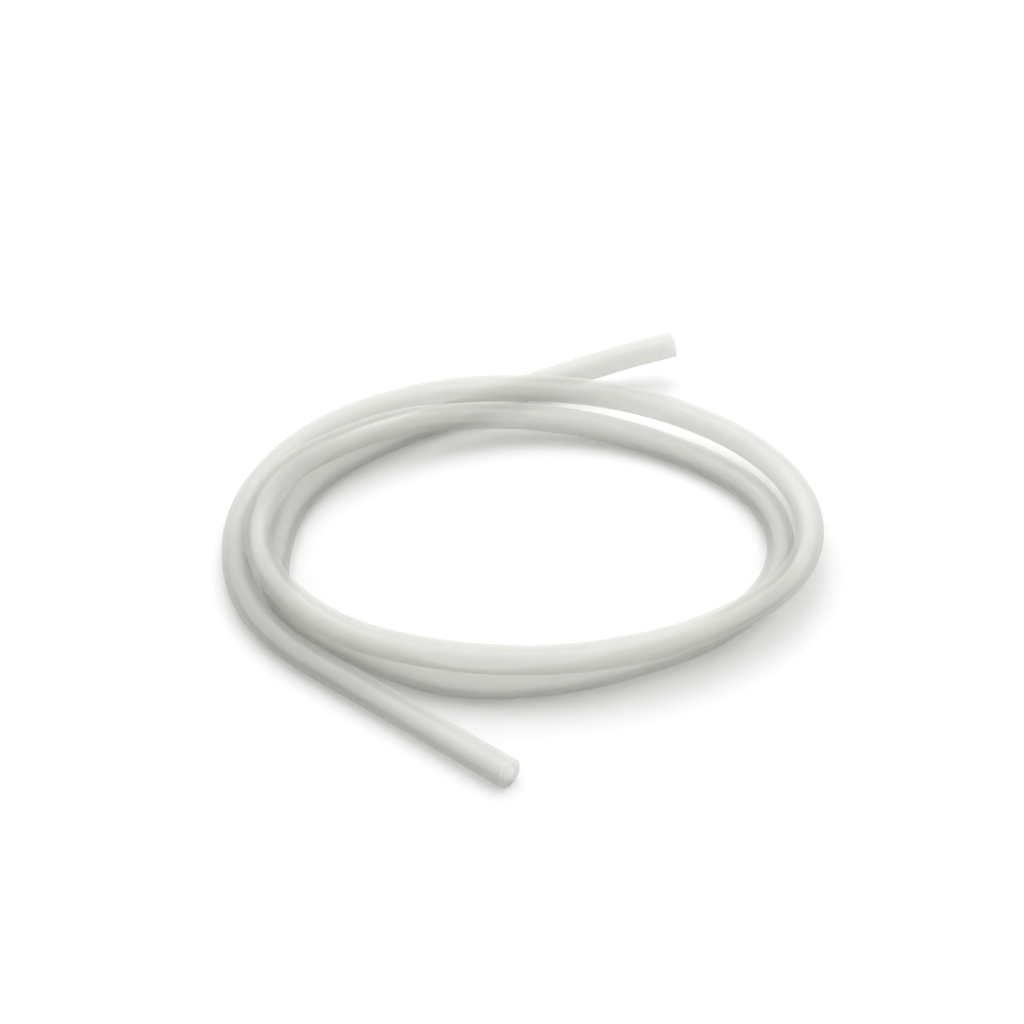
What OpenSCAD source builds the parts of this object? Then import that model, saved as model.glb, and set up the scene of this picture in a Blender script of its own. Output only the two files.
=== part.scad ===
// Silicone tubing coil: one length of soft round tubing, wound loosely into
// two and a half turns and lying as it comes to rest on a table. Both ends
// are cut square and open, ready to be pushed over a barb.

/* [Tube] */
// Outer diameter of the tubing, mm
tube_od = 6.4; // [5.6:0.1:6.4]
// Bore of the tubing, mm
tube_id = 3.2; // [2:0.1:4.2]

/* [Coil] */
// Radius of the coil where its turns lie tightest, mm
coil_radius = 50; // [50:1:80]

/* [Free ends] */
// Straight length at the front, past the last turn, mm
front_length = 57; // [30:1:70]
// Straight length at the back, ahead of the first turn, mm
back_length = 9; // [6:1:14]

/* [Detail] */
// Sides of the tube along the turns
sides = 16; // [12:2:20]
// Angle of coil between two rings of the tube, degrees
ring_step = 6; // [6:1:8]

/* [Hidden] */

// The centre line, seen from above and followed counter-clockwise from the
// back end. Each row is [angle round the coil in degrees, distance from the
// coil's centre in coil radii, lift]. Lift is the tube's height above the
// table in tube diameters: 0 is on the table, and a little over 1 is on top
// of another turn.
BACK_END = [[69, 1.62, 0.85], [75, 1.51, 0.6], [90, 1.32, 0.1]];
FLOOR_TURN = [
    [105, 1.17, 0], [120, 1.1, 0], [150, 1.09, 0], [180, 1.1, 0], [205, 1.15, 0],
    [230, 1.09, 0], [255, 1.09, 0], [280, 1.04, 0], [300, 1.03, 0],
    [320, 1.08, 0], [345, 1.15, 0], [375, 1.16, 0], [405, 1.07, 0],
];
RISE = [[435, 1.01, 0.25], [465, 0.98, 0.7], [495, 1.03, 1.05]];
UPPER_TURN = [
    [525, 1.16, 1.05], [555, 1.19, 1.05], [585, 1.16, 1.05], [615, 1.09, 1.05],
    [645, 1.09, 1.05], [675, 1.16, 1], [705, 1.27, 0.9], [750, 1.26, 0.75],
    [780, 1.17, 0.95], [810, 1.13, 1.05], [835, 1.18, 0.95],
];
OUTER_FALL = [
    [855, 1.3, 0.35], [880, 1.31, 0.05], [905, 1.29, 0], [925, 1.29, 0], [945, 1.27, 0],
];
ROUTE = concat(BACK_END, FLOOR_TURN, RISE, UPPER_TURN, OUTER_FALL);
ANGLES = [for (row = ROUTE) row[0]];
REACHES = [for (row = ROUTE) row[1]];
LIFTS = [for (row = ROUTE) row[2]];
LAST = len(ROUTE) - 1;

// Angle looked back along the turns for the way that each end leaves, degrees
NUDGE = 0.1;
// How far each straight end runs back over the turns
LAP = 0.5;
// How far inside a straight end's wall the turns end, so that the two join
TUCK = 0.06;
// How far a bore's cylinder runs on past what it cuts
OVERCUT = 1;
// Facets of the straight ends
END_FACETS = 64;

// Gradient of a list of values between row i and the next
function gradient(values, i) = (values[i + 1] - values[i]) / (ANGLES[i + 1] - ANGLES[i]);

// Gradient at row i: the two beside it, weighted. A list that turns over
// level has none where it stops rising or falling.
function slope(values, i, level) =
    i == 0 ? gradient(values, 0)
    : i == LAST ? gradient(values, LAST - 1)
    : let (
        before = ANGLES[i] - ANGLES[i - 1],
        after = ANGLES[i + 1] - ANGLES[i],
        g0 = gradient(values, i - 1),
        g1 = gradient(values, i)
    )
    level && g0 * g1 <= 0 ? 0 : (g0 * after + g1 * before) / (before + after);

// Row that the stretch holding angle a starts at
function row_at(a, i = 0) = i == LAST - 1 || a < ANGLES[i + 1] ? i : row_at(a, i + 1);

// Value at angle a, on a cubic curve through the rows
function blend(values, a, level = false) =
    let (
        i = row_at(a),
        span = ANGLES[i + 1] - ANGLES[i],
        t = (a - ANGLES[i]) / span
    )
    values[i] * (1 + 2 * t) * (1 - t) ^ 2
    + slope(values, i, level) * span * t * (1 - t) ^ 2
    + values[i + 1] * t ^ 2 * (3 - 2 * t)
    - slope(values, i + 1, level) * span * t ^ 2 * (1 - t);

// Point of the centre line at angle a
function on_route(a) =
    let (r = coil_radius * blend(REACHES, a))
    [r * cos(a), r * sin(a), tube_od * blend(LIFTS, a, true) + tube_od / 2];

function unit(v) = v / norm(v);

// Centre line of the turns, one point for each ring
FIRST_ANGLE = ANGLES[0];
LAST_ANGLE = ANGLES[LAST];
RINGS = ceil((LAST_ANGLE - FIRST_ANGLE) / ring_step);
LINE = [for (k = [0 : RINGS]) on_route(FIRST_ANGLE + (LAST_ANGLE - FIRST_ANGLE) * k / RINGS)];

// Directions in which the two straight ends leave the turns
BACK_WAY = unit(LINE[0] - on_route(FIRST_ANGLE + NUDGE));
FRONT_WAY = unit(LINE[RINGS] - on_route(LAST_ANGLE - NUDGE));

// Direction of the centre line at ring k
function along(k) =
    k == 0 ? -BACK_WAY
    : k == RINGS ? FRONT_WAY
    : unit(LINE[k + 1] - LINE[k - 1]);

// Ring k of radius r, square to the centre line and flat underneath
function ring(k, r) =
    let (
        way = along(k),
        side = unit(cross(way, [0, 0, 1])),
        up = cross(side, way)
    )
    [for (j = [0.5 : sides]) LINE[k] + r * (cos(360 * j / sides) * side + sin(360 * j / sides) * up)];

// A ring has the area of the circle that it stands for. The first and the
// last ring lie inside the wall of the straight end that they join.
AREA_RATIO = sqrt((2 * PI / sides) / sin(360 / sides));
function is_end(k) = k == 0 || k == RINGS;
function outer_r(k) = is_end(k) ? tube_od / 2 - TUCK : tube_od / 2 * AREA_RATIO;
function inner_r(k) = is_end(k) ? (tube_id / 2 + TUCK) / cos(180 / sides) : tube_id / 2 * AREA_RATIO;

// Two triangles for each side between a ring starting at point a and the next at b
function skin(a, b, j) =
    let (n = (j + 1) % sides)
    [[a + j, b + n, b + j], [a + j, a + n, b + n]];

function flip(face) = [face[0], face[2], face[1]];

// The turns: an outer and an inner skin, joined at both ends by a flat rim
module turns() {
    // First point of the inner skin
    inner = (RINGS + 1) * sides;
    points = [
        for (k = [0 : RINGS]) each ring(k, outer_r(k)),
        for (k = [0 : RINGS]) each ring(k, inner_r(k)),
    ];
    faces = [
        for (k = [0 : RINGS - 1], j = [0 : sides - 1])
            each skin(k * sides, (k + 1) * sides, j),
        for (k = [0 : RINGS - 1], j = [0 : sides - 1])
            each [for (f = skin(inner + k * sides, inner + (k + 1) * sides, j)) flip(f)],
        for (j = [0 : sides - 1]) each skin(inner, 0, j),
        for (j = [0 : sides - 1]) each skin(RINGS * sides, inner + RINGS * sides, j),
    ];
    polyhedron(points, faces);
}

// Round bar of radius r from a point back along way to a point on along it
module bar(start, way, r, back, on) {
    tilt = acos(way.z);
    turn = atan2(way.y, way.x);
    translate(start)
        rotate([0, tilt, turn])
            translate([0, 0, -back])
                cylinder(h = back + on, r = r, $fn = END_FACETS);
}

// Straight end: a round tube from its lap over the turns to its cut face
module straight_end(start, way, length) {
    difference() {
        bar(start, way, tube_od / 2, LAP, length);
        bar(start, way, tube_id / 2, LAP + OVERCUT, length + OVERCUT);
    }
}

// Half of what a ring that faces along way takes up along one axis
function half_width(way, axis) = tube_od / 2 * sqrt(1 - way[axis] ^ 2);

// Middle of the whole part along one axis, from its rings and two cut faces
function middle(axis) =
    let (
        faces = [
            [LINE[0] + back_length * BACK_WAY, BACK_WAY],
            [LINE[RINGS] + front_length * FRONT_WAY, FRONT_WAY],
            for (k = [0 : RINGS]) [LINE[k], along(k)],
        ],
        highs = [for (f = faces) f[0][axis] + half_width(f[1], axis)],
        lows = [for (f = faces) f[0][axis] - half_width(f[1], axis)]
    )
    (max(highs) + min(lows)) / 2;

// The whole tube: its turns and the two straight ends, with the middle of the
// whole part over the origin
module tubing() {
    color("#dfe1d8")
    translate([-middle(0), -middle(1), 0]) {
        turns();
        straight_end(LINE[0], BACK_WAY, back_length);
        straight_end(LINE[RINGS], FRONT_WAY, front_length);
    }
}

tubing();
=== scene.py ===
"""Dresses a coil of translucent silicone tubing that lies loose on a studio table.

The tube's route repeats the rows of the part's own source, in metres. Geometry
Nodes bend a rounded wall section along it, procedural materials give the milky
silicone its look, and a bright studio with one camera shows it.
"""

import logging
import math
from collections.abc import Iterable
from dataclasses import dataclass, field
from enum import Enum

import bpy
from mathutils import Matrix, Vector


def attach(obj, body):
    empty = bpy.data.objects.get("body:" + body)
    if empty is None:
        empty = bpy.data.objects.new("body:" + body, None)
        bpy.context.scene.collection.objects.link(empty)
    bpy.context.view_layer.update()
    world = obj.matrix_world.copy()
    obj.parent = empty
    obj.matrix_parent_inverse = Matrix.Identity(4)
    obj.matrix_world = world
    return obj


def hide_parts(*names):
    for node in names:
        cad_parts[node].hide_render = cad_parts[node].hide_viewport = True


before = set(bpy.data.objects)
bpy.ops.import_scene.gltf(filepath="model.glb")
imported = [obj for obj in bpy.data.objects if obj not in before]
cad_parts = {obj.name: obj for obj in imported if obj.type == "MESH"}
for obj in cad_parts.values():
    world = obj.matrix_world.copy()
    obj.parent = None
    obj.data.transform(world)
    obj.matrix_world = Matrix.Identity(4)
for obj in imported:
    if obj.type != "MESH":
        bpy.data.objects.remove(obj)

LOG = logging.getLogger("tubing_scene")
MM = 0.001
NODE = "tubing"
BODY = "root"
# Attribute that holds each point's place on the tube as if the tube lay straight
STRAIGHT = "straight"

Socket = bpy.types.NodeSocket
Sockets = dict[str, Socket]
Colour = tuple[float, float, float]


class Column(Enum):
    """Columns of a route row that are blended along the coil."""

    REACH = "reach"
    LIFT = "lift"


@dataclass(frozen=True)
class Row:
    """One row of the route.

    Attributes:
        angle: degrees round the coil, counter-clockwise seen from above.
        reach: distance from the coil's centre, in coil radii.
        lift: height of the tube's underside above the table, in tube diameters.
    """

    angle: float
    reach: float
    lift: float


BACK_END = (Row(69, 1.62, 0.85), Row(75, 1.51, 0.6), Row(90, 1.32, 0.1))
FLOOR_TURN = (
    Row(105, 1.17, 0), Row(120, 1.1, 0), Row(150, 1.09, 0), Row(180, 1.1, 0), Row(205, 1.15, 0),
    Row(230, 1.09, 0), Row(255, 1.09, 0), Row(280, 1.04, 0), Row(300, 1.03, 0),
    Row(320, 1.08, 0), Row(345, 1.15, 0), Row(375, 1.16, 0), Row(405, 1.07, 0),
)
RISE = (Row(435, 1.01, 0.25), Row(465, 0.98, 0.7), Row(495, 1.03, 1.05))
UPPER_TURN = (
    Row(525, 1.16, 1.05), Row(555, 1.19, 1.05), Row(585, 1.16, 1.05), Row(615, 1.09, 1.05),
    Row(645, 1.09, 1.05), Row(675, 1.16, 1), Row(705, 1.27, 0.9), Row(750, 1.26, 0.75),
    Row(780, 1.17, 0.95), Row(810, 1.13, 1.05), Row(835, 1.18, 0.95),
)
OUTER_FALL = (
    Row(855, 1.3, 0.35), Row(880, 1.31, 0.05), Row(905, 1.29, 0), Row(925, 1.29, 0), Row(945, 1.27, 0),
)


@dataclass
class Route:
    """The centre line of the tube, in the part's own frame and in metres.

    Attributes:
        rows: the listed rows, from the back end to the front one.
        coil_radius: radius of the coil where its turns lie tightest.
        diameter: outer diameter of the tube.
        back_length: straight length ahead of the first row.
        front_length: straight length past the last row.
        rings: stretches that the source divides the turns into.
        fineness: points here for each of those stretches.
        nudge: angle looked back along the turns for the way that each end leaves, in degrees.
        back_parts: stretches that the straight back end is divided into.
        front_stride: spacing of the points on the straight front end, in spacings on the turns.
    """

    rows: tuple[Row, ...] = BACK_END + FLOOR_TURN + RISE + UPPER_TURN + OUTER_FALL
    coil_radius: float = 50 * MM
    diameter: float = 6.4 * MM
    back_length: float = 9 * MM
    front_length: float = 57 * MM
    rings: int = 146
    fineness: int = 4
    nudge: float = 0.1
    back_parts: int = 6
    front_stride: int = 2

    def gradient(self, i: int, column: Column) -> float:
        """Gradient of one column between row i and the next.

        Args:
            i: number of the row.
            column: which column is read.

        Returns:
            The change for each degree.
        """
        low, high = self.rows[i], self.rows[i + 1]
        return (getattr(high, column.value) - getattr(low, column.value)) / (high.angle - low.angle)

    def slope(self, i: int, column: Column) -> float:
        """Gradient at row i: the two beside it weighted, level where a lift turns over.

        Args:
            i: number of the row.
            column: which column is read.

        Returns:
            The change for each degree.
        """
        last = len(self.rows) - 1
        if i == 0:
            return self.gradient(0, column)
        if i == last:
            return self.gradient(last - 1, column)
        before = self.rows[i].angle - self.rows[i - 1].angle
        after = self.rows[i + 1].angle - self.rows[i].angle
        g0, g1 = self.gradient(i - 1, column), self.gradient(i, column)
        if column is Column.LIFT and g0 * g1 <= 0:
            return 0.0
        return (g0 * after + g1 * before) / (before + after)

    def blend(self, angle: float, column: Column) -> float:
        """Reach or lift at an angle, on a cubic curve through the rows.

        Args:
            angle: degrees round the coil.
            column: which column is blended.

        Returns:
            The column's value there.
        """
        i = max(k for k in range(len(self.rows) - 1) if k == 0 or angle >= self.rows[k].angle)
        low, high = self.rows[i], self.rows[i + 1]
        span = high.angle - low.angle
        t = (angle - low.angle) / span
        return (
            getattr(low, column.value) * (1 + 2 * t) * (1 - t) ** 2
            + self.slope(i, column) * span * t * (1 - t) ** 2
            + getattr(high, column.value) * t**2 * (3 - 2 * t)
            - self.slope(i + 1, column) * span * t**2 * (1 - t)
        )

    def at(self, angle: float) -> Vector:
        """Point of the centre line at an angle, about the coil's own centre.

        Args:
            angle: degrees round the coil.

        Returns:
            The point, in metres.
        """
        r = self.coil_radius * self.blend(angle, Column.REACH)
        a = math.radians(angle)
        # A row lifts the underside, and the middle lies half a diameter above that.
        z = self.diameter * (self.blend(angle, Column.LIFT) + 0.5)
        return Vector((r * math.cos(a), r * math.sin(a), z))

    def turns(self, parts: int) -> list[Vector]:
        """Points of the turns, evenly spaced in angle.

        Args:
            parts: stretches that the turns are divided into.

        Returns:
            The points, one more than the stretches.
        """
        first, last = self.rows[0].angle, self.rows[-1].angle
        return [self.at(first + (last - first) * k / parts) for k in range(parts + 1)]

    def ways(self) -> tuple[Vector, Vector]:
        """Directions in which the back and the front end leave the turns."""
        first, last = self.rows[0].angle, self.rows[-1].angle
        back = (self.at(first) - self.at(first + self.nudge)).normalized()
        front = (self.at(last) - self.at(last - self.nudge)).normalized()
        return back, front

    def middle(self) -> Vector:
        """Middle of the whole part seen from above, which the source moves to the origin."""
        line = self.turns(self.rings)
        back, front = self.ways()
        rings = [
            (line[0] + self.back_length * back, back),
            (line[-1] + self.front_length * front, front),
            (line[0], back),
            (line[-1], front),
        ]
        rings += [(line[k], (line[k + 1] - line[k - 1]).normalized()) for k in range(1, self.rings)]
        middle = Vector((0, 0, 0))
        for axis in (0, 1):
            reach = [self.diameter / 2 * math.sqrt(1 - way[axis] ** 2) for _, way in rings]
            highs = [p[axis] + d for (p, _), d in zip(rings, reach)]
            lows = [p[axis] - d for (p, _), d in zip(rings, reach)]
            middle[axis] = (max(highs) + min(lows)) / 2
        return middle

    def points(self) -> list[Vector]:
        """The whole centre line, from the back cut face to the front one, in the part's frame."""
        line = self.turns(self.rings * self.fineness)
        back, front = self.ways()
        back_end = [
            line[0] + back * self.back_length * k / self.back_parts
            for k in range(self.back_parts, 0, -1)
        ]
        step = (line[1] - line[0]).length
        front_parts = math.ceil(self.front_length / step / self.front_stride)
        front_end = [
            line[-1] + front * self.front_length * k / front_parts
            for k in range(1, front_parts + 1)
        ]
        middle = self.middle()
        return [p - middle for p in back_end + line + front_end]


@dataclass
class Sketch:
    """Short ways to add and join nodes in one node tree.

    Attributes:
        tree: the node tree that is drawn in.
    """

    tree: bpy.types.NodeTree

    def add(self, kind: str, **settings: object) -> bpy.types.Node:
        """Adds a node.

        Args:
            kind: the node's type name.
            **settings: its own properties.

        Returns:
            The new node.
        """
        node = self.tree.nodes.new(kind)
        for name, value in settings.items():
            setattr(node, name, value)
        return node

    def feed(self, socket: Socket, value: object) -> None:
        """Links or sets an input.

        Args:
            socket: the input socket.
            value: an output socket to link, or a plain value.
        """
        if isinstance(value, Socket):
            self.tree.links.new(value, socket)
        else:
            socket.default_value = value

    def fill(self, node: bpy.types.Node, values: dict[str, object]) -> None:
        """Links or sets several inputs of a node.

        Args:
            node: the node.
            values: an output socket or a plain value for each input's name.
        """
        for name, value in values.items():
            self.feed(node.inputs[name], value)

    def number_math(self, operation: str, *values: object) -> Socket:
        """Adds a Math node.

        Args:
            operation: what it does.
            *values: its inputs in order.

        Returns:
            Its output.
        """
        node = self.add("ShaderNodeMath", operation=operation)
        for socket, value in zip(node.inputs, values):
            self.feed(socket, value)
        return node.outputs[0]

    def vector_math(self, operation: str, *values: object) -> Socket:
        """Adds a Vector Math node.

        Args:
            operation: what it does.
            *values: its inputs in order.

        Returns:
            Its vector output, or its value output for a distance.
        """
        node = self.add("ShaderNodeVectorMath", operation=operation)
        spots = [node.inputs[0], node.inputs["Scale"]] if operation == "SCALE" else list(node.inputs)
        for socket, value in zip(spots, values):
            self.feed(socket, value)
        return node.outputs["Value" if operation == "DISTANCE" else "Vector"]

    @staticmethod
    def typed(sockets: Iterable[Socket], kind: str, name: str = "") -> Socket:
        """Finds a socket by its type, on a node that has several of one name.

        Args:
            sockets: the node's inputs or outputs.
            kind: the socket's type.
            name: its name, or nothing where the type says enough.

        Returns:
            The first socket that fits.
        """
        return next(s for s in sockets if s.type == kind and name in ("", s.name))


class Zone(Enum):
    """Parts of the tube's surface that have a finish of their own."""

    WALL = "Wall"
    CUT = "Cut face"
    BORE = "Bore wall"


@dataclass(frozen=True)
class Silicone:
    """Milky translucent silicone rubber.

    Attributes:
        name: the material's name.
        pale: base colour where the rubber is clearest.
        milky: base colour where it is cloudiest.
        roughness: lowest and highest roughness.
        depth: how far light travels inside, in metres.
        scatter: how far red, green and blue light travel, as shares of that.
        clearness: share of the light that passes through.
        refraction: index of refraction. The milky rubber scatters light so much
            that none of its bending shows, so this is 1.
        gloss: strength of the soft gloss on its skin.
        gloss_roughness: roughness of that gloss.
        gloss_refraction: index of refraction of the skin, that of silicone.
        streak: height of the fine lines that the extruder leaves along the tube, in metres.
        grain: height of the fine grain, in metres.
    """

    name: str
    pale: Colour
    milky: Colour
    roughness: tuple[float, float] = (0.9, 1.0)
    depth: float = 4 * MM
    scatter: Colour = (1.0, 1.0, 0.85)
    clearness: float = 0.8
    refraction: float = 1.0
    gloss: float = 0.3
    gloss_roughness: float = 0.4
    gloss_refraction: float = 1.41
    streak: float = 0.004 * MM
    grain: float = 0.002 * MM

    def build(self, cloud: bpy.types.NodeTree) -> bpy.types.Material:
        """Makes the material.

        Args:
            cloud: the shared group that gives cloudiness, roughness and height.

        Returns:
            The material.
        """
        material = bpy.data.materials.new(self.name)
        material.use_nodes = True
        material.node_tree.nodes.clear()
        sketch = Sketch(material.node_tree)
        place = sketch.add("ShaderNodeAttribute", attribute_name=STRAIGHT)
        group = sketch.add("ShaderNodeGroup", node_tree=cloud)
        smoothest, roughest = self.roughness
        sketch.fill(group, {
            "Place": place.outputs["Vector"],
            "Pale": (*self.pale, 1),
            "Milky": (*self.milky, 1),
            "Smoothest": smoothest,
            "Roughest": roughest,
            "Streak": self.streak,
            "Grain": self.grain,
        })
        # The group's height is in metres already, so the bump takes it unscaled.
        bump = sketch.add("ShaderNodeBump")
        sketch.fill(bump, {"Strength": 1.0, "Distance": 1.0, "Height": group.outputs["Height"]})
        shader = sketch.add("ShaderNodeBsdfPrincipled")
        sketch.fill(shader, {
            "Base Color": group.outputs["Color"],
            "Roughness": group.outputs["Roughness"],
            "Normal": bump.outputs["Normal"],
            "IOR": self.refraction,
            "Transmission Weight": self.clearness,
            "Coat Weight": self.gloss,
            "Coat Roughness": self.gloss_roughness,
            "Coat IOR": self.gloss_refraction,
            "Subsurface Weight": 1.0,
            "Subsurface Radius": self.scatter,
            "Subsurface Scale": self.depth,
        })
        output = sketch.add("ShaderNodeOutputMaterial")
        sketch.feed(output.inputs["Surface"], shader.outputs["BSDF"])
        return material


@dataclass(frozen=True)
class Cloudiness:
    """The slight unevenness of extruded silicone, shared by all its finishes.

    Attributes:
        cloud_length: size of the soft clouds along the tube, in metres.
        cloud_width: their size across it.
        cloud_detail: finer layers in the clouds.
        cloud_range: cloudiness at which the rubber is smoothest, and roughest.
        streak_length: length of the extruder's fine lines, in metres.
        streak_width: their width.
        grain_size: size of the fine grain, in metres.
        fine_detail: finer layers in the lines and in the grain.
    """

    cloud_length: float = 20 * MM
    cloud_width: float = 6 * MM
    cloud_detail: int = 2
    cloud_range: tuple[float, float] = (0.3, 0.7)
    streak_length: float = 50 * MM
    streak_width: float = 0.5 * MM
    grain_size: float = 0.25 * MM
    fine_detail: int = 1

    def build(self) -> bpy.types.NodeTree:
        """Makes the node group.

        Returns:
            The group, with named inputs and outputs.
        """
        tree = bpy.data.node_groups.new("silicone_cloudiness", "ShaderNodeTree")
        face = tree.interface
        for name, kind in (
            ("Place", "NodeSocketVector"),
            ("Pale", "NodeSocketColor"),
            ("Milky", "NodeSocketColor"),
            ("Smoothest", "NodeSocketFloat"),
            ("Roughest", "NodeSocketFloat"),
            ("Streak", "NodeSocketFloat"),
            ("Grain", "NodeSocketFloat"),
        ):
            face.new_socket(name=name, in_out="INPUT", socket_type=kind)
        for name, kind in (
            ("Color", "NodeSocketColor"),
            ("Roughness", "NodeSocketFloat"),
            ("Height", "NodeSocketFloat"),
        ):
            face.new_socket(name=name, in_out="OUTPUT", socket_type=kind)
        sketch = Sketch(tree)
        given = sketch.add("NodeGroupInput").outputs
        place = given["Place"]
        clouds = self.noise(sketch, place, self.cloud_length, self.cloud_width, self.cloud_detail)
        streaks = self.noise(sketch, place, self.streak_length, self.streak_width, self.fine_detail)
        grain = self.noise(sketch, place, self.grain_size, self.grain_size, self.fine_detail)
        colour = sketch.add("ShaderNodeMix", data_type="RGBA")
        sketch.feed(colour.inputs["Factor"], clouds)
        sketch.feed(sketch.typed(colour.inputs, "RGBA", "A"), given["Pale"])
        sketch.feed(sketch.typed(colour.inputs, "RGBA", "B"), given["Milky"])
        rough = sketch.add("ShaderNodeMapRange")
        low, high = self.cloud_range
        sketch.fill(rough, {
            "Value": clouds,
            "From Min": low,
            "From Max": high,
            "To Min": given["Smoothest"],
            "To Max": given["Roughest"],
        })
        height = sketch.number_math(
            "ADD",
            sketch.number_math("MULTIPLY", streaks, given["Streak"]),
            sketch.number_math("MULTIPLY", grain, given["Grain"]),
        )
        sketch.fill(sketch.add("NodeGroupOutput"), {
            "Color": sketch.typed(colour.outputs, "RGBA"),
            "Roughness": rough.outputs["Result"],
            "Height": height,
        })
        return tree

    def noise(self, sketch: Sketch, place: Socket, length: float, width: float, detail: int) -> Socket:
        """Adds a noise that can be stretched along the tube.

        Args:
            sketch: the tree that it goes in.
            place: the place on the straightened tube.
            length: the noise's size along the tube, in metres.
            width: its size across the tube, in metres.
            detail: how many finer layers it has.

        Returns:
            The noise, from 0 to 1.
        """
        scaled = sketch.vector_math("MULTIPLY", place, (1 / length, 1 / width, 1 / width))
        node = sketch.add("ShaderNodeTexNoise")
        sketch.fill(node, {"Vector": scaled, "Scale": 1.0, "Detail": detail})
        return node.outputs["Fac"]


# The outer wall carries the tone, and the nearly white bore wall brightens it from inside.
FINISHES = {
    Zone.WALL: Silicone(
        "silicone_wall",
        pale=(0.66, 0.666, 0.64),
        milky=(0.63, 0.636, 0.61),
    ),
    Zone.CUT: Silicone(
        "silicone_cut_face",
        pale=(0.76, 0.764, 0.75),
        milky=(0.74, 0.744, 0.73),
        gloss=0.1,
        grain=0.02 * MM,
    ),
    Zone.BORE: Silicone(
        "silicone_bore_wall",
        pale=(0.97, 0.972, 0.965),
        milky=(0.95, 0.952, 0.945),
        gloss=0.1,
    ),
}


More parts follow.
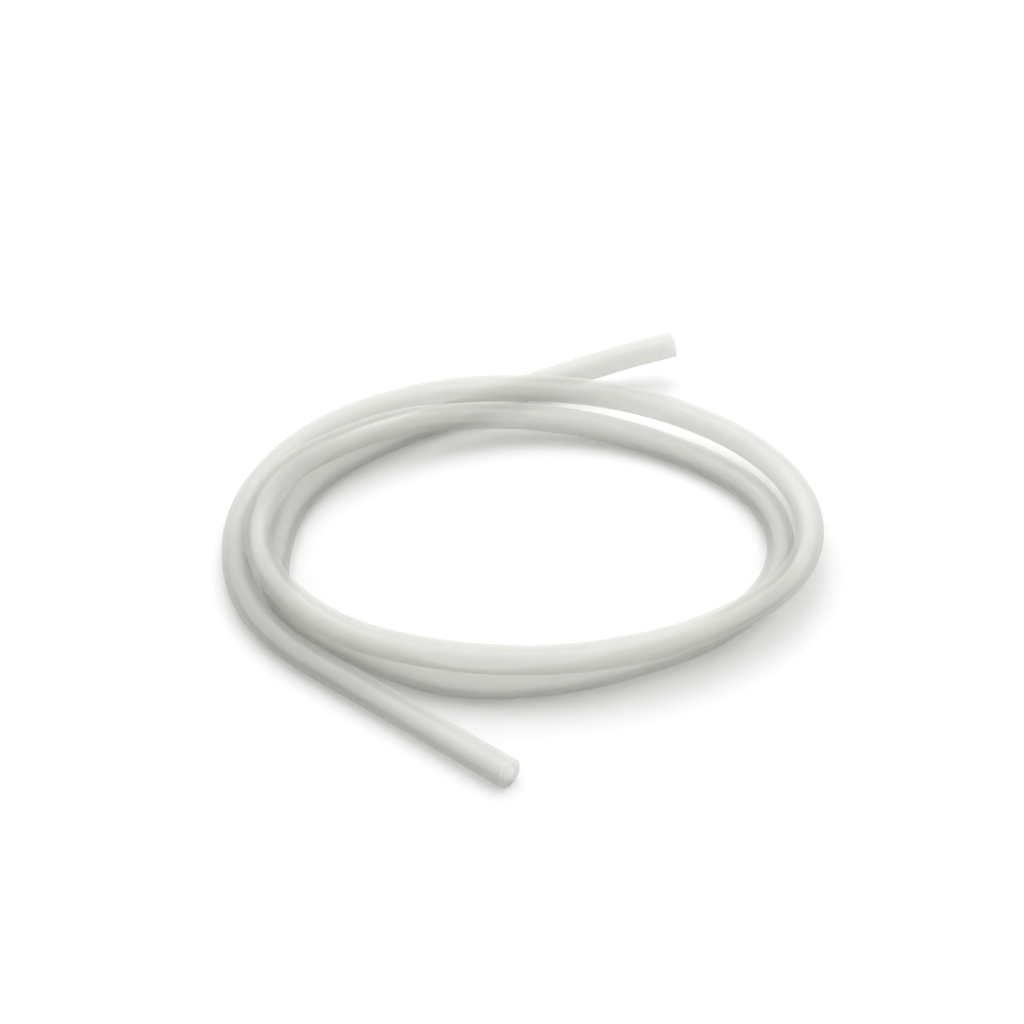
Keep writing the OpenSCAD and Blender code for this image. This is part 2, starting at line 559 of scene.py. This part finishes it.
@dataclass
class Tubing:
    """The one length of tubing, a round wall bent along the route.

    Attributes:
        route: the centre line.
        bore: inner diameter.
        edge: rounding of the cut edges.
        corner_points: points on each rounded edge.
        ring_step: distance between two rings of faces.
        sides: faces round the tube.
        cut_share: how much of a rounded edge belongs to the cut face, as a share of edge.
        bore_slack: how far a face of the bore wall may lie outside the bore.
        finishes: the finish of each zone.
    """

    route: Route = field(default_factory=Route)
    bore: float = 3.2 * MM
    edge: float = 0.25 * MM
    corner_points: int = 4
    ring_step: float = 2 * MM
    sides: int = 40
    cut_share: float = 0.7
    bore_slack: float = 0.02 * MM
    finishes: dict[Zone, Silicone] = field(default_factory=lambda: dict(FINISHES))

    def sizes(self) -> dict[str, float | int]:
        """The sizes that the tree takes, by the names of its inputs."""
        return {
            "Outer Diameter": self.route.diameter,
            "Bore": self.bore,
            "Edge": self.edge,
            "Corner Points": self.corner_points,
            "Ring Step": self.ring_step,
            "Sides": self.sides,
            "Cut Share": self.cut_share,
            "Bore Slack": self.bore_slack,
        }

    def centre_curve(self) -> tuple[bpy.types.Object, list[Vector]]:
        """Makes the centre line as a curve object.

        Returns:
            The object and its points.
        """
        points = self.route.points()
        curve = bpy.data.curves.new("tubing_centre", "CURVE")
        curve.dimensions = "3D"
        spline = curve.splines.new("POLY")
        spline.points.add(len(points) - 1)
        for spot, p in zip(spline.points, points):
            spot.co = (*p, 1)
        thing = bpy.data.objects.new("tubing_sweep", curve)
        bpy.context.scene.collection.objects.link(thing)
        return thing, points

    def empty_tree(self) -> bpy.types.NodeTree:
        """Makes the tree with its named inputs: the sizes, and a material for each zone."""
        tree = bpy.data.node_groups.new("bend_tube", "GeometryNodeTree")
        face = tree.interface
        face.new_socket(name="Geometry", in_out="INPUT", socket_type="NodeSocketGeometry")
        for name, value in self.sizes().items():
            kind = "NodeSocketInt" if isinstance(value, int) else "NodeSocketFloat"
            face.new_socket(name=name, in_out="INPUT", socket_type=kind)
        for zone in Zone:
            face.new_socket(name=zone.value, in_out="INPUT", socket_type="NodeSocketMaterial")
        face.new_socket(name="Geometry", in_out="OUTPUT", socket_type="NodeSocketGeometry")
        return tree

    def wall_section(
        self, sketch: Sketch, given: Sockets, length: Socket
    ) -> tuple[Socket, Socket, Socket]:
        """Draws the lengthwise section of the wall: a long strip with rounded corners.

        Args:
            sketch: the tree that it goes in.
            given: the group's inputs by name.
            length: length of the centre line.

        Returns:
            The curve, with the place along the tube and the distance from its
            axis as fields.
        """
        outer = sketch.number_math("DIVIDE", given["Outer Diameter"], 2.0)
        inner = sketch.number_math("DIVIDE", given["Bore"], 2.0)
        strip = sketch.add("GeometryNodeCurvePrimitiveQuadrilateral")
        sketch.fill(strip, {"Width": length, "Height": sketch.number_math("SUBTRACT", outer, inner)})
        fillet = sketch.add("GeometryNodeFilletCurve", mode="POLY")
        sketch.fill(fillet, {
            "Curve": strip.outputs["Curve"],
            "Radius": given["Edge"],
            "Count": given["Corner Points"],
        })
        here = sketch.add("GeometryNodeInputPosition").outputs["Position"]
        following = sketch.add("GeometryNodeOffsetPointInCurve")
        sketch.feed(following.inputs["Offset"], 1)
        there = sketch.add("GeometryNodeFieldAtIndex", data_type="FLOAT_VECTOR", domain="POINT")
        sketch.feed(sketch.typed(there.inputs, "VECTOR", "Value"), here)
        sketch.feed(there.inputs["Index"], following.outputs["Point Index"])
        gap = sketch.vector_math("DISTANCE", here, sketch.typed(there.outputs, "VECTOR"))
        cuts = sketch.number_math("FLOOR", sketch.number_math("DIVIDE", gap, given["Ring Step"]))
        finer = sketch.add("GeometryNodeSubdivideCurve")
        sketch.fill(finer, {"Curve": fillet.outputs["Curve"], "Cuts": cuts})
        parts = sketch.add("ShaderNodeSeparateXYZ")
        sketch.feed(parts.inputs["Vector"], here)
        along = sketch.number_math("ADD", parts.outputs["X"], sketch.number_math("DIVIDE", length, 2.0))
        half = sketch.number_math("DIVIDE", sketch.number_math("ADD", outer, inner), 2.0)
        away = sketch.number_math("ADD", parts.outputs["Y"], half)
        return finer.outputs["Curve"], along, away

    def capture(self, sketch: Sketch, geometry: Socket, **fields: Socket) -> tuple[Socket, Sockets]:
        """Keeps fields on a geometry's points.

        Args:
            sketch: the tree that it goes in.
            geometry: the geometry.
            **fields: number fields by name.

        Returns:
            The geometry and a dictionary of the kept fields.
        """
        node = sketch.add("GeometryNodeCaptureAttribute", domain="POINT")
        sketch.feed(node.inputs["Geometry"], geometry)
        for name, value in fields.items():
            node.capture_items.new("FLOAT", name)
            sketch.feed(node.inputs[name], value)
        return node.outputs["Geometry"], {name: node.outputs[name] for name in fields}

    def sweep_tree(self) -> bpy.types.NodeTree:
        """Draws the tree that revolves the wall's section and bends it along the curve.

        Returns:
            The Geometry Nodes tree, with a named input for each size.
        """
        tree = self.empty_tree()
        sketch = Sketch(tree)
        given = {s.name: s for s in sketch.add("NodeGroupInput").outputs}
        measure = sketch.add("GeometryNodeCurveLength")
        sketch.feed(measure.inputs["Curve"], given["Geometry"])
        length = measure.outputs["Length"]
        section, along, away = self.wall_section(sketch, given, length)
        section, kept = self.capture(sketch, section, along=along, away=away)
        rail = sketch.add("GeometryNodeCurvePrimitiveCircle", mode="RADIUS")
        sketch.feed(rail.inputs["Resolution"], given["Sides"])
        index = sketch.add("GeometryNodeInputIndex").outputs["Index"]
        all_turns = sketch.number_math("MULTIPLY", index, math.tau)
        turn = sketch.number_math("DIVIDE", all_turns, given["Sides"])
        circle, around = self.capture(sketch, rail.outputs["Curve"], turn=turn)
        skin = sketch.add("GeometryNodeCurveToMesh")
        sketch.fill(skin, {"Curve": circle, "Profile Curve": section})
        sample = sketch.add("GeometryNodeSampleCurve", mode="LENGTH")
        sketch.fill(sample, {"Curves": given["Geometry"], "Length": kept["along"]})
        way = sample.outputs["Tangent"]
        across = sketch.vector_math("CROSS_PRODUCT", way, (0.0, 0.0, 1.0))
        side = sketch.vector_math("NORMALIZE", across)
        up = sketch.vector_math("CROSS_PRODUCT", side, way)
        radius = kept["away"]
        level = sketch.number_math("MULTIPLY", radius, sketch.number_math("COSINE", around["turn"]))
        rise = sketch.number_math("MULTIPLY", radius, sketch.number_math("SINE", around["turn"]))
        offset = sketch.vector_math(
            "ADD", sketch.vector_math("SCALE", side, level), sketch.vector_math("SCALE", up, rise)
        )
        # The bend turns the wall inside out, so its faces are flipped to point outwards.
        outward = sketch.add("GeometryNodeFlipFaces")
        sketch.feed(outward.inputs["Mesh"], skin.outputs["Mesh"])
        bend = sketch.add("GeometryNodeSetPosition")
        sketch.fill(bend, {
            "Geometry": outward.outputs["Mesh"],
            "Position": sketch.vector_math("ADD", sample.outputs["Position"], offset),
        })
        straight = sketch.add("ShaderNodeCombineXYZ")
        sketch.fill(straight, {"X": kept["along"], "Y": level, "Z": rise})
        store = sketch.add("GeometryNodeStoreNamedAttribute", data_type="FLOAT_VECTOR", domain="POINT")
        sketch.fill(store, {"Geometry": bend.outputs["Geometry"], "Name": STRAIGHT})
        sketch.feed(sketch.typed(store.inputs, "VECTOR", "Value"), straight.outputs["Vector"])
        self.finish_tree(sketch, given, store.outputs["Geometry"], kept, length)
        return tree

    def finish_tree(
        self, sketch: Sketch, given: Sockets, geometry: Socket, kept: Sockets, length: Socket
    ) -> None:
        """Ends the tree: one mesh, smooth, with a finish for each zone.

        Args:
            sketch: the tree that it goes in.
            given: the group's inputs by name.
            geometry: the bent wall.
            kept: the place along the tube and the distance from its axis.
            length: length of the centre line.
        """
        from_front = sketch.number_math("SUBTRACT", length, kept["along"])
        near_end = sketch.number_math("MINIMUM", kept["along"], from_front)
        cut_limit = sketch.number_math("MULTIPLY", given["Edge"], given["Cut Share"])
        at_cut = sketch.number_math("LESS_THAN", near_end, cut_limit)
        inner = sketch.number_math("DIVIDE", given["Bore"], 2.0)
        bore_limit = sketch.number_math("ADD", inner, given["Bore Slack"])
        at_bore = sketch.number_math("LESS_THAN", kept["away"], bore_limit)
        realize = sketch.add("GeometryNodeRealizeInstances")
        sketch.feed(realize.inputs["Geometry"], geometry)
        smooth = sketch.add("GeometryNodeSetShadeSmooth")
        sketch.feed(smooth.inputs["Geometry"], realize.outputs["Geometry"])
        last = smooth.outputs["Geometry"]
        for zone, where in ((Zone.WALL, None), (Zone.BORE, at_bore), (Zone.CUT, at_cut)):
            paint = sketch.add("GeometryNodeSetMaterial")
            sketch.fill(paint, {"Geometry": last, "Material": given[zone.value]})
            if where is not None:
                sketch.feed(paint.inputs["Selection"], where)
            last = paint.outputs["Geometry"]
        sketch.feed(sketch.add("NodeGroupOutput").inputs["Geometry"], last)

    def build(self) -> tuple[bpy.types.Object, list[Vector]]:
        """Builds and dresses the tube.

        Returns:
            The tube as a plain mesh object, and its centre line.
        """
        curve, points = self.centre_curve()
        cloud = Cloudiness().build()
        materials = {zone.value: finish.build(cloud) for zone, finish in self.finishes.items()}
        tree = self.sweep_tree()
        modifier = curve.modifiers.new("bend_tube", "NODES")
        modifier.node_group = tree
        values = {**self.sizes(), **materials}
        for item in tree.interface.items_tree:
            if item.item_type == "SOCKET" and item.in_out == "INPUT" and item.name in values:
                modifier[item.identifier] = values[item.name]
        bpy.context.view_layer.update()
        evaluated = curve.evaluated_get(bpy.context.evaluated_depsgraph_get())
        mesh = bpy.data.meshes.new_from_object(evaluated)
        mesh.name = "silicone_tube"
        tube = bpy.data.objects.new("silicone_tube", mesh)
        bpy.context.scene.collection.objects.link(tube)
        curve.modifiers.remove(modifier)
        bpy.data.objects.remove(curve)
        return tube, points

    def declare(self, tube: bpy.types.Object) -> None:
        """Hangs the tube on the root body and hides the CAD tube, whose place it takes.

        Args:
            tube: the tube's object.
        """
        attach(tube, BODY)
        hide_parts(NODE)


@dataclass(frozen=True)
class FloorFinish:
    """Matt grey studio table, lit so strongly that the picture shows it white.

    Attributes:
        colour: its colour.
        roughness: its roughness.
    """

    colour: Colour = (0.6, 0.6, 0.6)
    roughness: float = 0.9

    def build(self) -> bpy.types.Material:
        """Makes the material.

        Returns:
            The material.
        """
        material = bpy.data.materials.new("table_white")
        material.use_nodes = True
        shader = material.node_tree.nodes["Principled BSDF"]
        Sketch(material.node_tree).fill(shader, {
            "Base Color": (*self.colour, 1),
            "Roughness": self.roughness,
            "Specular IOR Level": 0.0,
        })
        return material


@dataclass
class Studio:
    """The table, the lights and the camera.

    Attributes:
        table_size: width of the square table.
        aim: point that the camera looks at.
        elevation: the camera's height above the horizon, in degrees.
        distance: from the camera to the aim.
        lens: focal length in millimetres.
        sensor: width of the camera's sensor in millimetres.
        sky: strength of the even light from all round.
        key: power of the large lamp above, in watts.
        key_size: width of that lamp.
        key_place: where the lamp is.
        exposure: of the whole picture, in stops.
    """

    table_size: float = 6.0
    aim: tuple[float, float, float] = (-2.2 * MM, 14.8 * MM, 3.2 * MM)
    elevation: float = 33.4
    distance: float = 0.640
    lens: float = 98.0
    sensor: float = 36.0
    sky: float = 1.15
    key: float = 12.0
    key_size: float = 1.3
    key_place: tuple[float, float, float] = (0.0, 0.45, 1.05)
    exposure: float = 0.0

    def camera(self) -> None:
        """Sets the camera at the photograph's viewing angle."""
        data = bpy.data.cameras.new("studio_camera")
        data.lens = self.lens
        data.sensor_width = self.sensor
        camera = bpy.data.objects.new("studio_camera", data)
        a = math.radians(self.elevation)
        aim = Vector(self.aim)
        camera.location = aim + self.distance * Vector((0, -math.cos(a), math.sin(a)))
        camera.rotation_euler = (math.pi / 2 - a, 0, 0)
        bpy.context.scene.collection.objects.link(camera)
        bpy.context.scene.camera = camera
        LOG.info("camera: %.1f degrees up, %.2f m away", self.elevation, self.distance)

    def table(self) -> None:
        """Lays the table under the part."""
        half = self.table_size / 2
        corners = [(-half, -half, 0), (half, -half, 0), (half, half, 0), (-half, half, 0)]
        mesh = bpy.data.meshes.new("table")
        mesh.from_pydata(corners, [], [(0, 1, 2, 3)])
        mesh.materials.append(FloorFinish().build())
        table = bpy.data.objects.new("table", mesh)
        bpy.context.scene.collection.objects.link(table)
        LOG.info("table: %.1f m square", self.table_size)

    def lights(self) -> None:
        """Hangs one large soft lamp over the part, in even light from all round."""
        world = bpy.data.worlds.new("studio_sky")
        world.use_nodes = True
        background = world.node_tree.nodes["Background"]
        Sketch(world.node_tree).fill(background, {"Color": (1, 1, 1, 1), "Strength": self.sky})
        bpy.context.scene.world = world
        lamp = bpy.data.lights.new("softbox", "AREA")
        lamp.shape = "DISK"
        lamp.size = self.key_size
        lamp.energy = self.key
        holder = bpy.data.objects.new("softbox", lamp)
        holder.location = self.key_place
        aim = Vector(self.aim) - Vector(self.key_place)
        holder.rotation_euler = aim.to_track_quat("-Z", "Y").to_euler()
        bpy.context.scene.collection.objects.link(holder)
        LOG.info("lights: sky %.2f, softbox %.1f W", self.sky, self.key)

    def picture(self) -> None:
        """Keeps the picture's tones as they are lit."""
        view = bpy.context.scene.view_settings
        view.view_transform = "Standard"
        view.exposure = self.exposure


def main() -> None:
    """Builds the camera, the tube and the studio."""
    logging.basicConfig(level=logging.INFO, format="%(name)s: %(message)s")
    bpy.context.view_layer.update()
    studio = Studio()
    studio.camera()
    tubing = Tubing()
    tube, points = tubing.build()
    tubing.declare(tube)
    studio.table()
    studio.lights()
    studio.picture()


if __name__ == "__main__":
    main()
